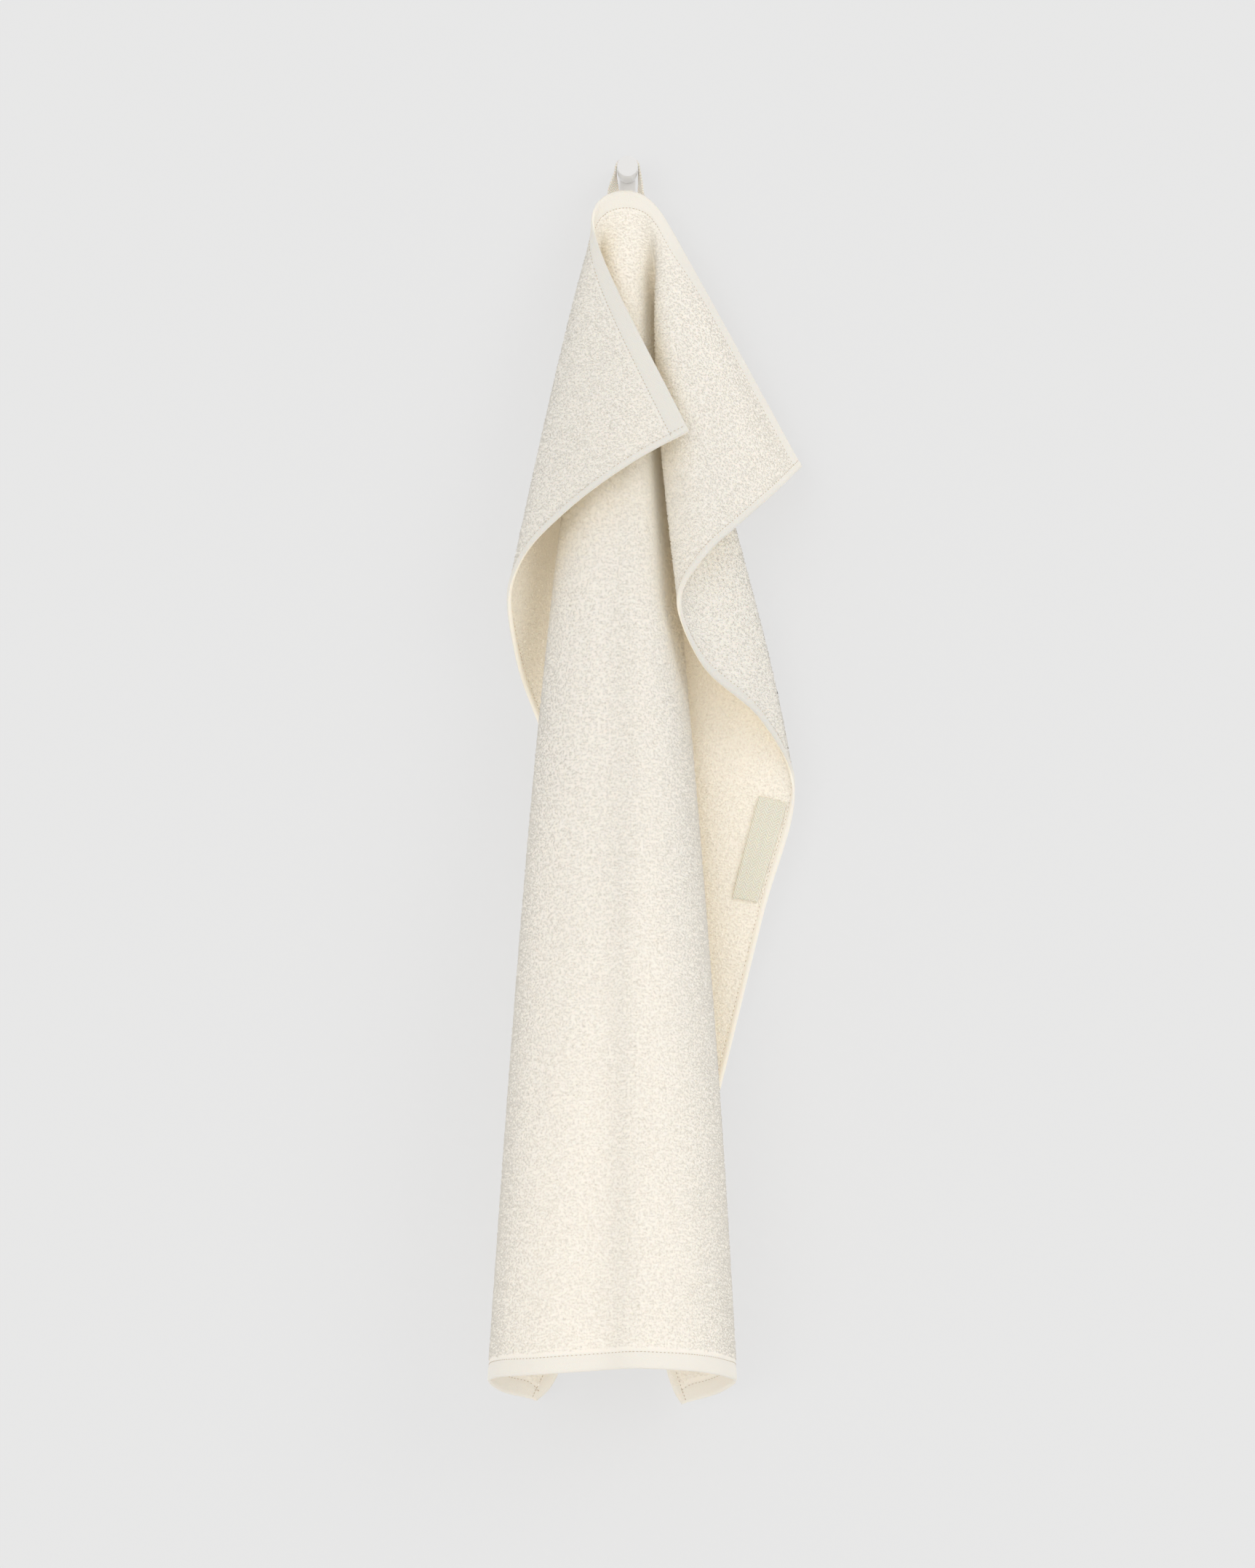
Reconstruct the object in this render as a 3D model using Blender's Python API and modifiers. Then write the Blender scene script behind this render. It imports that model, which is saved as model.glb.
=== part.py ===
"""Guest towel hanging by its tape loop from a small peg hook on a wall.

The wall is the plane y = 0 and the cloth hangs on the side of negative y. The origin is on
the hook's back face, on the axis of its peg, and +Z is up. Sizes are in millimetres and are
turned into metres where a mesh is made.
"""
import math

import bmesh
import bpy
import numpy as np

MM = 0.001

# Cloth: the flat towel and its thickness
TOWEL_WIDTH = 400.0
TOWEL_LENGTH = 700.0
TOWEL_THICKNESS = 2.0
HALF_WIDTH = TOWEL_WIDTH / 2

# Mesh of the cloth: the widest step along its free edge, and the rows down each hanging
# line, which are closer together near the top. Corners that come nearer to each other than
# the smallest step, where the lines run together, are joined
EDGE_STEP = 18.0
LINE_ROWS = 19
ROW_CROWDING = 1.25
SMALLEST_STEP = 5.0

# Where the cloth is held: half the stretch of top hem between the ends of the loop, and the
# places in space of that stretch's two ends (x, distance from the wall, z)
HELD_HALF = 12.0
LEFT_HOLD = (-12.0, 24.0, -11.0)
RIGHT_HOLD = (11.0, 24.0, -10.5)

# Half the width of lower hem that makes up the front panel between its two long folds
PANEL_HALF = 142.0

# Every fold is rounded over about this length of cloth, and over more of it near the held
# stretch, where the folds run together
FOLD_SOFTNESS = 6.0
GATHER_SOFTNESS = 8.0
GATHER_REACH = 60.0
SOFTENING_STEPS = (-1.8, -1.2, -0.6, 0.0, 0.6, 1.2, 1.8)

# Hanging lines. Each runs from the held stretch of the top hem to a point of the free edge,
# in order round the cloth. u and v are that point on the flat towel (across, down), and x,
# away (from the wall) and z are where it hangs. Part-way down, at the share of its length
# called peak, the line stands bow to the right and belly forward of a straight one.
HANGING_LINES = (
    # name                      u    v     x  away    z   bow belly peak
    ("left top corner",      -200,   0,   36,  90, -161, -17,   2, 0.22),
    ("left flap front",      -200,  38,    5,  92, -178, -13,   4, 0.25),
    ("left flap middle",     -200,  99,  -39,  80, -210,  -9,   6, 0.32),
    ("left flap side",       -200, 140,  -64,  61, -237,  -4,   3, 0.38),
    ("left outer fold",      -200, 165,  -71,  46, -258,  -3,   0, 0.40),
    ("left inner leaf",      -200, 206,  -66,  27, -294,  -3,  -4, 0.45),
    ("left leaf edge",       -200, 248,  -55,  11, -327,  -2,  -5, 0.45),
    ("left back leaf",       -200, 330,  -20,   9, -398,   0,  -5, 0.40),
    ("left back fold rear",  -200, 396,   13,   9, -456,   0,  -5, 0.40),
    ("left back fold",       -200, 432,   13,  19, -490,   0,   1, 0.40),
    ("left back edge",       -200, 560,  -14,  18, -602,  -2,   2, 0.40),
    ("left bottom corner",   -200, 700,  -55,  14, -735,  -5,   0, 0.45),
    ("left return",          -172, 700,  -74,  26, -730,  -8,   2, 0.42),
    ("left front fold",      -142, 700,  -82,  50, -721,  -9,   5, 0.40),
    ("left cheek",            -95, 700,  -75,  92, -713,  -8,  12, 0.40),
    ("left front",            -50, 700,  -47, 120, -708,  -4,  18, 0.40),
    ("front valley",          -12, 700,  -12, 125, -705,   0,  20, 0.40),
    ("front ridge",             8, 700,    3, 134, -703,   0,  20, 0.40),
    ("right front",            50, 700,   37, 122, -706,   1,  18, 0.42),
    ("right cheek",            95, 700,   57,  90, -713,   2,  12, 0.60),
    ("right front fold",      142, 700,   64,  50, -721,   3,   5, 0.66),
    ("right return",          172, 700,   53,  27, -731,   4,   3, 0.55),
    ("right bottom corner",   200, 700,   33,  16, -737,   2,   2, 0.50),
    ("right back fold",       200, 650,   19,  18, -688,   0,   2, 0.40),
    ("right back fold rear",  200, 618,   19,   9, -657,   0,  -5, 0.40),
    ("right back edge",       200, 560,   41,  10, -606,   2,  -3, 0.50),
    ("right leaf edge",       200, 490,   56,  16, -548,   3,   0, 0.55),
    ("right leaf",            200, 386,   82,  21, -442,   4,   0, 0.66),
    ("right outer fold",      200, 314,  100,  26, -372,   4,   2, 0.78),
    ("right turn front",      200, 262,   80,  44, -330,   4,   4, 0.55),
    ("right turn",            200, 206,   43,  71, -296,   1,   3, 0.50),
    ("right inner fold",      200, 166,   30,  79, -262,  -4,   3, 0.50),
    ("right flap inner",      200, 120,   47,  89, -232,  -3,   8, 0.45),
    ("right flap belly",      200,  90,   63,  77, -217,  -1,   9, 0.40),
    ("right flap curl",       200,  40,   91,  44, -191,   1,   7, 0.40),
    ("right top corner",      200,   0,  104,  16, -177,   1,   0, 0.20),
)

# Woven label, blank, sewn flat beside the right side hem: its outline on the flat towel
LABEL_LEFT = 175.5
LABEL_RIGHT = 194.0
LABEL_TOP = 324.0
LABEL_BOTTOM = 383.0
LABEL_THICKNESS = 0.7
LABEL_LIFT = 2.2
LABEL_COLUMNS = 4
LABEL_ROWS = 12

# Hook: a round peg on a narrow upright plate
PLATE_WIDTH = 10.0
PLATE_TOP = 5.5
PLATE_BOTTOM = -34.0
PLATE_THICKNESS = 5.0
PLATE_BEVEL = 0.8
PEG_RADIUS = 6.2
PEG_FRONT = 39.5
PEG_BEVEL = 0.5
PEG_SIDES = 48
SEAT_GAP = 0.3

# Hanging loop: a flat tape over the peg, both ends behind the top hem
TAPE_WIDTH = 7.0
TAPE_THICKNESS = 1.2
TAPE_AWAY = 20.0
TAPE_RADIUS = PEG_RADIUS + SEAT_GAP + TAPE_THICKNESS / 2
TAPE_ARC_STEPS = 12

# Tape legs below the peg: x, distance from the wall, z and the turn of the tape's width,
# from 0, across the view, to 90, along the peg
LEFT_LEG = (
    # x     away     z   turn
    (-7.3,  20.1,  -2.5,  84),
    (-7.6,  20.3,  -5.0,  72),
    (-7.9,  20.6,  -7.5,  56),
    (-8.2,  20.5, -10.0,  38),
    (-8.4,  20.7, -12.5,  22),
    (-8.5,  21.3, -15.0,  10),
    (-8.6,  21.7, -19.0,   3),
    (-8.6,  21.8, -25.0,   0),
)
RIGHT_LEG = (
    (7.3,   19.8,  -2.5,  96),
    (7.5,   19.4,  -5.0, 100),
    (7.7,   19.0,  -7.5, 104),
    (7.8,   18.7, -10.0, 108),
    (7.9,   18.6, -12.5, 112),
    (8.0,   18.7, -15.0, 118),
    (8.1,   19.6, -19.0, 138),
    (8.2,   20.7, -25.0, 160),
)


def clear_scene():
    for old in list(bpy.data.objects):
        bpy.data.objects.remove(old, do_unlink=True)


def make_material(name, colour, roughness, metallic=0.0):
    material = bpy.data.materials.new(name)
    material.use_nodes = True
    shader = material.node_tree.nodes["Principled BSDF"]
    shader.inputs["Base Color"].default_value = (*colour, 1.0)
    shader.inputs["Roughness"].default_value = roughness
    shader.inputs["Metallic"].default_value = metallic
    material.diffuse_color = (*colour, 1.0)
    return material


def add_object(collection, name, bm, material):
    mesh = bpy.data.meshes.new(name)
    bm.to_mesh(mesh)
    bm.free()
    mesh.materials.append(material)
    thing = bpy.data.objects.new(name, mesh)
    collection.objects.link(thing)
    return thing


def free_edge_place(u, v):
    """Distance along the free edge, counted from the middle of the lower hem."""
    if abs(u) < HALF_WIDTH:
        return u
    return math.copysign(HALF_WIDTH + TOWEL_LENGTH - v, u)


def line_slopes(places, values):
    """Slopes at the hanging lines that keep the cloth from overshooting between them."""
    gaps = np.diff(places)[:, None]
    rises = np.diff(values, axis=0) / gaps
    before = rises[:-1]
    after = rises[1:]
    same_way = before * after > 0
    before_safe = np.where(same_way, before, 1.0)
    after_safe = np.where(same_way, after, 1.0)
    far_side = 2 * gaps[1:] + gaps[:-1]
    near_side = gaps[1:] + 2 * gaps[:-1]
    mean = (far_side + near_side) / (far_side / before_safe + near_side / after_safe)
    inner = np.where(same_way, mean, 0.0)
    return np.vstack((rises[:1], inner, rises[-1:]))


LINE_PLACES = np.array([free_edge_place(line[1], line[2]) for line in HANGING_LINES])
LINE_VALUES = np.array([line[3:] for line in HANGING_LINES], dtype=float)
LINE_SLOPES = line_slopes(LINE_PLACES, LINE_VALUES)


def line_at(place):
    """Table values of the hanging line that ends at a place on the free edge."""
    place = np.clip(place, LINE_PLACES[0], LINE_PLACES[-1])
    index = np.clip(np.searchsorted(LINE_PLACES, place) - 1, 0, len(LINE_PLACES) - 2)
    gap = (LINE_PLACES[index + 1] - LINE_PLACES[index])[..., None]
    t = (place - LINE_PLACES[index])[..., None] / gap
    start = (1 + 2 * t) * (1 - t) ** 2 * LINE_VALUES[index]
    start += t * (1 - t) ** 2 * gap * LINE_SLOPES[index]
    end = t * t * (3 - 2 * t) * LINE_VALUES[index + 1]
    end += t * t * (t - 1) * gap * LINE_SLOPES[index + 1]
    return start + end


def hang(u, v):
    """Hanging place (x, away, z) of points of the flat cloth, before folds are rounded."""
    reach = HALF_WIDTH - HELD_HALF
    side = np.sign(u)
    run = np.abs(u) - HELD_HALF
    down = v / TOWEL_LENGTH
    # Front panel: lines fan out evenly from the held stretch to the lower hem
    fan = HELD_HALF / PANEL_HALF * (1 - down) + down
    foot = u / fan
    in_panel = np.abs(foot) <= PANEL_HALF
    # Beyond it: lines from the end of the held stretch to the lower hem or a side hem
    tangent = np.where(v > 0, run / np.maximum(v, 1e-6), 1e6)
    tangent = np.maximum(tangent, 1e-6)
    to_hem = tangent <= reach / TOWEL_LENGTH
    hem_place = side * (HELD_HALF + TOWEL_LENGTH * tangent)
    side_place = side * (HALF_WIDTH + TOWEL_LENGTH - reach / tangent)
    place = np.where(in_panel, foot, np.where(to_hem, hem_place, side_place))
    share = np.where(in_panel | to_hem, down, run / reach)
    share = np.clip(share, 0.0, 1.0)[..., None]
    values = line_at(place)
    peak = values[..., 5:]
    from_left = np.clip(foot / PANEL_HALF, -1, 1)[..., None] / 2 + 0.5
    start = np.array(LEFT_HOLD) * (1 - from_left) + np.array(RIGHT_HOLD) * from_left
    hanging = start + share * (values[..., :3] - start)
    swell = np.sin(math.pi * share ** (math.log(0.5) / np.log(peak)))
    hanging[..., :2] += values[..., 3:5] * swell
    return hanging


def hang_past_edge(u, v):
    """The same, where the cloth is taken to run straight on past its edges."""
    turned_u = np.where(np.abs(u) > HALF_WIDTH, np.sign(u) * TOWEL_WIDTH - u, u)
    turned_v = np.where(v < 0, -v, np.where(v > TOWEL_LENGTH, 2 * TOWEL_LENGTH - v, v))
    edge_u = np.clip(u, -HALF_WIDTH, HALF_WIDTH)
    edge_v = np.clip(v, 0, TOWEL_LENGTH)
    inside = hang(turned_u, turned_v)
    past = ((turned_u != u) | (turned_v != v))[..., None]
    return np.where(past, 2 * hang(edge_u, edge_v) - inside, inside)


def drape(u, v):
    """Hanging place in the scene's axes, in millimetres, with every fold rounded."""
    steps = np.array(SOFTENING_STEPS)
    weights = np.exp(-0.5 * steps ** 2)
    weights /= weights.sum()
    from_hold = np.hypot(np.maximum(np.abs(u) - HELD_HALF, 0.0), v)
    softness = FOLD_SOFTNESS + GATHER_SOFTNESS * np.exp(-((from_hold / GATHER_REACH) ** 2))
    total = np.zeros(u.shape + (3,))
    for step_u, weight_u in zip(steps, weights):
        for step_v, weight_v in zip(steps, weights):
            near = hang_past_edge(u + step_u * softness, v + step_v * softness)
            total += weight_u * weight_v * near
    return np.stack((total[..., 0], -total[..., 1], total[..., 2]), axis=-1)


def front_normal(u, v):
    """Unit normal on the side of the cloth that carries the label."""
    step = 1.0
    across = drape(u + step, v) - drape(u - step, v)
    down = drape(u, v + step) - drape(u, v - step)
    normal = np.cross(down, across)
    return normal / np.linalg.norm(normal, axis=-1, keepdims=True)


def unit_grid(columns, rows):
    """A grid of cells over the unit square, and its corners as an array."""
    bm = bmesh.new()
    bmesh.ops.create_grid(bm, x_segments=columns, y_segments=rows, size=0.5)
    corners = np.array([(vert.co.x + 0.5, vert.co.y + 0.5) for vert in bm.verts])
    return bm, corners


def hang_grid(bm, u, v, lift=0.0):
    """Move a grid's corners to where those points of the cloth hang, raised by lift."""
    places = drape(u, v)
    if lift:
        places = places + lift * front_normal(u, v)
    for vert, place in zip(bm.verts, places * MM):
        vert.co = place


def edge_steps():
    """Places along the free edge, one at each hanging line and more between them."""
    places = [LINE_PLACES[0]]
    for start, end in zip(LINE_PLACES[:-1], LINE_PLACES[1:]):
        count = math.ceil((end - start) / EDGE_STEP)
        places.extend(start + (end - start) * step / count for step in range(1, count + 1))
    return np.array(places)


def towel_grid():
    """The whole towel, meshed flat along the hanging lines and then hung."""
    places = edge_steps()
    bm, corners = unit_grid(len(places) - 1, LINE_ROWS)
    place = places[np.rint(corners[:, 0] * (len(places) - 1)).astype(int)]
    share = (1 - corners[:, 1]) ** ROW_CROWDING
    past_hem = np.maximum(np.abs(place) - HALF_WIDTH, 0.0)
    start_u = HELD_HALF * np.clip(place / PANEL_HALF, -1, 1)
    end_u = np.clip(place, -HALF_WIDTH, HALF_WIDTH)
    flat_u = start_u + share * (end_u - start_u)
    flat_v = share * (TOWEL_LENGTH - past_hem)
    for vert, u, v in zip(bm.verts, flat_u, flat_v):
        vert.co = (u, v, 0.0)
    bmesh.ops.remove_doubles(bm, verts=bm.verts, dist=SMALLEST_STEP)
    bmesh.ops.triangulate(bm, faces=bm.faces)
    flat = np.array([vert.co for vert in bm.verts])
    hang_grid(bm, flat[:, 0], flat[:, 1])
    return bm


def thicken(thing, thickness):
    solidify = thing.modifiers.new("Thickness", "SOLIDIFY")
    solidify.thickness = thickness * MM
    solidify.offset = 0.0
    thing.data.shade_smooth()


def make_towel(collection):
    material = make_material("cream terry", (0.86, 0.80, 0.69), 0.95)
    thicken(add_object(collection, "towel", towel_grid(), material), TOWEL_THICKNESS)


def make_label(collection):
    bm, corners = unit_grid(LABEL_COLUMNS, LABEL_ROWS)
    u = LABEL_LEFT + corners[:, 0] * (LABEL_RIGHT - LABEL_LEFT)
    v = LABEL_BOTTOM + corners[:, 1] * (LABEL_TOP - LABEL_BOTTOM)
    hang_grid(bm, u, v, LABEL_LIFT)
    material = make_material("pale woven tape", (0.80, 0.79, 0.66), 0.85)
    thicken(add_object(collection, "label", bm, material), LABEL_THICKNESS)


def tape_stations():
    """Tape centre (x, away, z) and turn of its width, from the left end to the right."""
    stations = [((x, away, z), turn) for x, away, z, turn in reversed(LEFT_LEG)]
    for step in range(TAPE_ARC_STEPS + 1):
        angle = math.pi * (1 - step / TAPE_ARC_STEPS)
        centre = (TAPE_RADIUS * math.cos(angle), TAPE_AWAY, TAPE_RADIUS * math.sin(angle))
        stations.append((centre, 90))
    stations += [((x, away, z), turn) for x, away, z, turn in RIGHT_LEG]
    return stations


def make_loop(collection):
    """A flat strip swept along the tape's route, then thickened."""
    stations = tape_stations()
    bm = bmesh.new()
    bmesh.ops.create_grid(bm, x_segments=2, y_segments=len(stations) - 1, size=0.5)
    for vert in bm.verts:
        (x, away, z), turn = stations[round((vert.co.y + 0.5) * (len(stations) - 1))]
        across = vert.co.x * TAPE_WIDTH
        x += across * math.cos(math.radians(turn))
        away -= across * math.sin(math.radians(turn))
        vert.co = (x * MM, -away * MM, z * MM)
    material = make_material("cotton tape", (0.86, 0.83, 0.75), 0.9)
    thicken(add_object(collection, "hanging_loop", bm, material), TAPE_THICKNESS)


def bevel(thing, width, segments):
    modifier = thing.modifiers.new("Soft edges", "BEVEL")
    modifier.width = width * MM
    modifier.segments = segments
    modifier.limit_method = "ANGLE"
    modifier.angle_limit = math.radians(40)


def make_plate(collection, material):
    height = PLATE_TOP - PLATE_BOTTOM
    bm = bmesh.new()
    bmesh.ops.create_cube(bm, size=1.0)
    bmesh.ops.scale(bm, verts=bm.verts, vec=(PLATE_WIDTH * MM, PLATE_THICKNESS * MM, height * MM))
    plate = add_object(collection, "hook_plate", bm, material)
    plate.location = (0, -PLATE_THICKNESS / 2 * MM, (PLATE_TOP + PLATE_BOTTOM) / 2 * MM)
    bevel(plate, PLATE_BEVEL, 3)


def make_peg(collection, material):
    back = PLATE_THICKNESS + SEAT_GAP
    bm = bmesh.new()
    bmesh.ops.create_cone(bm, cap_ends=True, segments=PEG_SIDES, radius1=PEG_RADIUS * MM,
                          radius2=PEG_RADIUS * MM, depth=(PEG_FRONT - back) * MM)
    peg = add_object(collection, "hook_peg", bm, material)
    peg.rotation_euler = (math.radians(90), 0, 0)
    peg.location = (0, -(back + PEG_FRONT) / 2 * MM, 0)
    bevel(peg, PEG_BEVEL, 2)
    peg.data.shade_smooth()
    peg.data.set_sharp_from_angle(angle=math.radians(40))


def main():
    clear_scene()
    collection = bpy.data.collections.new("guest_towel_on_hook")
    bpy.context.scene.collection.children.link(collection)
    coat = make_material("white hook coat", (0.82, 0.81, 0.79), 0.4)
    make_plate(collection, coat)
    make_peg(collection, coat)
    make_loop(collection)
    make_towel(collection)
    make_label(collection)


main()
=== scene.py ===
"""Looks of a terry guest towel that hangs by its tape loop from a small peg hook.

Lengths are in millimetres until a mesh is made. Points of the cloth are named by where they
lie on the flat towel: u across it from its middle, and v down it from the upper hem. The wall
is the plane y = 0, and "away" is the distance from it.
"""
import math

import bmesh
import bpy
import numpy as np
from mathutils.bvhtree import BVHTree
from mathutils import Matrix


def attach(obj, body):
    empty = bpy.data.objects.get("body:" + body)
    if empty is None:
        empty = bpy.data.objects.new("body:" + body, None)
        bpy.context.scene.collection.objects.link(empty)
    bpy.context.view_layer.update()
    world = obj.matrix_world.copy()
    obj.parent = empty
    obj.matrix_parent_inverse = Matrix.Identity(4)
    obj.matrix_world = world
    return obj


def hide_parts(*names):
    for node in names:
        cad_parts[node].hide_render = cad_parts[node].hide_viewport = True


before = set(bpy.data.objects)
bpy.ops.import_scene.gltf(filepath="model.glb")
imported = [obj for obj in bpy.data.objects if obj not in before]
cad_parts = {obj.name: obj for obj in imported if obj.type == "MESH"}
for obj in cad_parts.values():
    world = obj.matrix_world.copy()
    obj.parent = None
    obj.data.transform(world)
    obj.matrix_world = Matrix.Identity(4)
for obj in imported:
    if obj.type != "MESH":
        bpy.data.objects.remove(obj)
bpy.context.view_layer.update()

MM = 0.001
RNG = np.random.default_rng(7)

# Flat towel and its hems
TOWEL_WIDTH = 400.0
TOWEL_LENGTH = 700.0
HALF_WIDTH = TOWEL_WIDTH / 2
TOP_HEM = 13.0
BOTTOM_HEM = 11.0
SIDE_HEM = 4.2

# Half thicknesses of the cloth under its pile, of the flat hems, of the rolled side hems, and of
# the towel's upper and lower ends
CLOTH_HALF = 0.65
HEM_HALF = 1.0
ROLL_HALF = 1.5
THIN_EDGE_HALF = 0.35

# Length over which a hem rounds off at its edge, how far its stitches lie from where the terry
# begins, and how deep and how widely they pull in
HEM_ROUNDING = 1.2
STITCH_INSET = 1.2
STITCH_DIP = 0.45
STITCH_DIP_REACH = 0.8

# How far the smooth hem fades into the terry, to each side of its edge
HEM_FADE = 0.5

# Where the cloth is held: half the held stretch of top hem, and its two ends (x, away, z)
HELD_HALF = 12.0
LEFT_HOLD = (-12.0, 24.0, -11.0)
RIGHT_HOLD = (11.0, 24.0, -10.5)
PANEL_HALF = 142.0

# Every fold is rounded over this length of cloth, and over more near the held stretch
FOLD_SOFTNESS = 6.0
GATHER_SOFTNESS = 8.0
GATHER_REACH = 60.0
SOFTENING_STEPS = (-1.8, -1.2, -0.6, 0.0, 0.6, 1.2, 1.8)

# Hanging lines, from the held stretch to a point of the free edge: that point on the flat
# towel (u, v), where it hangs (x, away, z), and how far the line bows and bellies at peak
HANGING_LINES = (
    # name                      u    v     x  away    z   bow belly peak
    ("left top corner",      -200,   0,   36,  90, -161, -17,   2, 0.22),
    ("left flap front",      -200,  38,    5,  92, -178, -13,   4, 0.25),
    ("left flap middle",     -200,  99,  -39,  80, -210,  -9,   6, 0.32),
    ("left flap side",       -200, 140,  -64,  61, -237,  -4,   3, 0.38),
    ("left outer fold",      -200, 165,  -71,  46, -258,  -3,   0, 0.40),
    ("left inner leaf",      -200, 206,  -66,  27, -294,  -3,  -4, 0.45),
    ("left leaf edge",       -200, 248,  -55,  11, -327,  -2,  -5, 0.45),
    ("left back leaf",       -200, 330,  -20,   9, -398,   0,  -5, 0.40),
    ("left back fold rear",  -200, 396,   13,   9, -456,   0,  -5, 0.40),
    ("left back fold",       -200, 432,   13,  19, -490,   0,   1, 0.40),
    ("left back edge",       -200, 560,  -14,  18, -602,  -2,   2, 0.40),
    ("left bottom corner",   -200, 700,  -55,  14, -735,  -5,   0, 0.45),
    ("left return",          -172, 700,  -74,  26, -730,  -8,   2, 0.42),
    ("left front fold",      -142, 700,  -82,  50, -721,  -9,   5, 0.40),
    ("left cheek",            -95, 700,  -75,  92, -713,  -8,  12, 0.40),
    ("left front",            -50, 700,  -47, 120, -708,  -4,  18, 0.40),
    ("front valley",          -12, 700,  -12, 125, -705,   0,  20, 0.40),
    ("front ridge",             8, 700,    3, 134, -703,   0,  20, 0.40),
    ("right front",            50, 700,   37, 122, -706,   1,  18, 0.42),
    ("right cheek",            95, 700,   57,  90, -713,   2,  12, 0.60),
    ("right front fold",      142, 700,   64,  50, -721,   3,   5, 0.66),
    ("right return",          172, 700,   53,  27, -731,   4,   3, 0.55),
    ("right bottom corner",   200, 700,   33,  16, -737,   2,   2, 0.50),
    ("right back fold",       200, 650,   19,  18, -688,   0,   2, 0.40),
    ("right back fold rear",  200, 618,   19,   9, -657,   0,  -5, 0.40),
    ("right back edge",       200, 560,   41,  10, -606,   2,  -3, 0.50),
    ("right leaf edge",       200, 490,   56,  16, -548,   3,   0, 0.55),
    ("right leaf",            200, 386,   82,  21, -442,   4,   0, 0.66),
    ("right outer fold",      200, 314,  100,  26, -372,   4,   2, 0.78),
    ("right turn front",      200, 262,   80,  44, -330,   4,   4, 0.55),
    ("right turn",            200, 206,   43,  71, -296,   1,   3, 0.50),
    ("right inner fold",      200, 166,   30,  79, -262,  -4,   3, 0.50),
    ("right flap inner",      200, 120,   47,  89, -232,  -3,   8, 0.45),
    ("right flap belly",      200,  90,   63,  77, -217,  -1,   9, 0.40),
    ("right flap curl",       200,  40,   91,  44, -191,   1,   7, 0.40),
    ("right top corner",      200,   0,  104,  16, -177,   1,   0, 0.20),
)

# Steps of the fine cloth mesh over the terry and across the hems
TERRY_STEP_U = 2.8
TERRY_STEP_V = 3.1
HEM_STEPS = 9
ROLL_STEPS = 5

# Pile: spacing of the loops, each loop's length, width and height, how deep its ends sink, how
# far its crest leans ahead of its middle, and how round it is shaded
LOOP_STEP_U = 1.53
LOOP_STEP_V = 1.69
LOOP_LENGTH = 2.7
LOOP_WIDTH = 1.8
LOOP_HEIGHT = 0.68
LOOP_ROOT = 0.25
LOOP_CREST_LEAN = 0.3
LOOP_ROUNDNESS = 0.75

# How far loops stray from their grid, in steps, and their turn and tilt, as spreads
LOOP_STRAY = 0.45
LOOP_TURN = 1.1
LOOP_TILT = 0.16

# Share of the crest's colour at a loop's three sunk corners and at its crest; the rest is the
# painted warm shade of the flanks
CREST_SHARES = (0.2, 0.2, 0.2, 1.0)

# Bare cloth between the pile and the hems, and the pieces that each side's pile is made in
PILE_MARGIN = 0.9
PILE_SIDE_MARGIN = 0.6
PILE_PIECES = 3

# Hem stitches: their spacing along the hem, each one's length and width, and how deep it sinks
STITCH_STEP = 2.6
STITCH_LENGTH = 1.9
STITCH_WIDTH = 0.6
STITCH_ROOT = 0.1

# Woven label beside the right side hem, on the flat towel
LABEL_LEFT = 175.5
LABEL_RIGHT = 194.0
LABEL_TOP = 324.0
LABEL_BOTTOM = 383.0
LABEL_THICKNESS = 0.7
LABEL_LIFT = 2.2
LABEL_ROUNDING = 0.6
LABEL_COLUMNS = 25
LABEL_ROWS = 71

# Hook
PLATE_WIDTH = 10.0
PLATE_TOP = 5.5
PLATE_BOTTOM = -34.0
PLATE_THICKNESS = 5.0
PLATE_BEVEL = 0.8
PEG_RADIUS = 6.2
PEG_FRONT = 39.5
PEG_BEVEL = 0.5
PEG_SIDES = 128
SEAT_GAP = 0.3
SHARP_ANGLE = math.radians(40)

# Hanging loop: its tape, the arc over the peg, and the tape's section, which is flat for a share
# of its half width and upright at each edge for a share of its half thickness
TAPE_WIDTH = 7.0
TAPE_THICKNESS = 1.2
TAPE_AWAY = 20.0
TAPE_RADIUS = PEG_RADIUS + SEAT_GAP + TAPE_THICKNESS / 2
TAPE_ARC_STEPS = 12
TAPE_STEP = 0.7
TAPE_FLAT_SHARE = 0.94
TAPE_EDGE_SHARE = 0.45
TAPE_FACE_POINTS = 11
LEFT_LEG = (
    # x     away     z   turn
    (-7.3,  20.1,  -2.5,  84),
    (-7.6,  20.3,  -5.0,  72),
    (-7.9,  20.6,  -7.5,  56),
    (-8.2,  20.5, -10.0,  38),
    (-8.4,  20.7, -12.5,  22),
    (-8.5,  21.3, -15.0,  10),
    (-8.6,  21.7, -19.0,   3),
    (-8.6,  21.8, -25.0,   0),
)
RIGHT_LEG = (
    (7.3,   19.8,  -2.5,  96),
    (7.5,   19.4,  -5.0, 100),
    (7.7,   19.0,  -7.5, 104),
    (7.8,   18.7, -10.0, 108),
    (7.9,   18.6, -12.5, 112),
    (8.0,   18.7, -15.0, 118),
    (8.1,   19.6, -19.0, 138),
    (8.2,   20.7, -25.0, 160),
)

# View: the camera stands level, square to the wall
CAMERA_AWAY = 3000.0
CAMERA_Z = -367.0
SENSOR_WIDTH = 36.0
PIXELS_PER_MM_AT_WALL = 2.285
IMAGE_WIDTH = 1725.0

# Shelter: grid step, rays, the turn from each ray to the next, how far they look and how far
# off the cloth they start
SHELTER_STEP = 5.0
SHELTER_RAYS = 20
SHELTER_RAY_TURN = math.radians(137.5)
SHELTER_REACH = 90.0
SHELTER_START = 2.5

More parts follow.
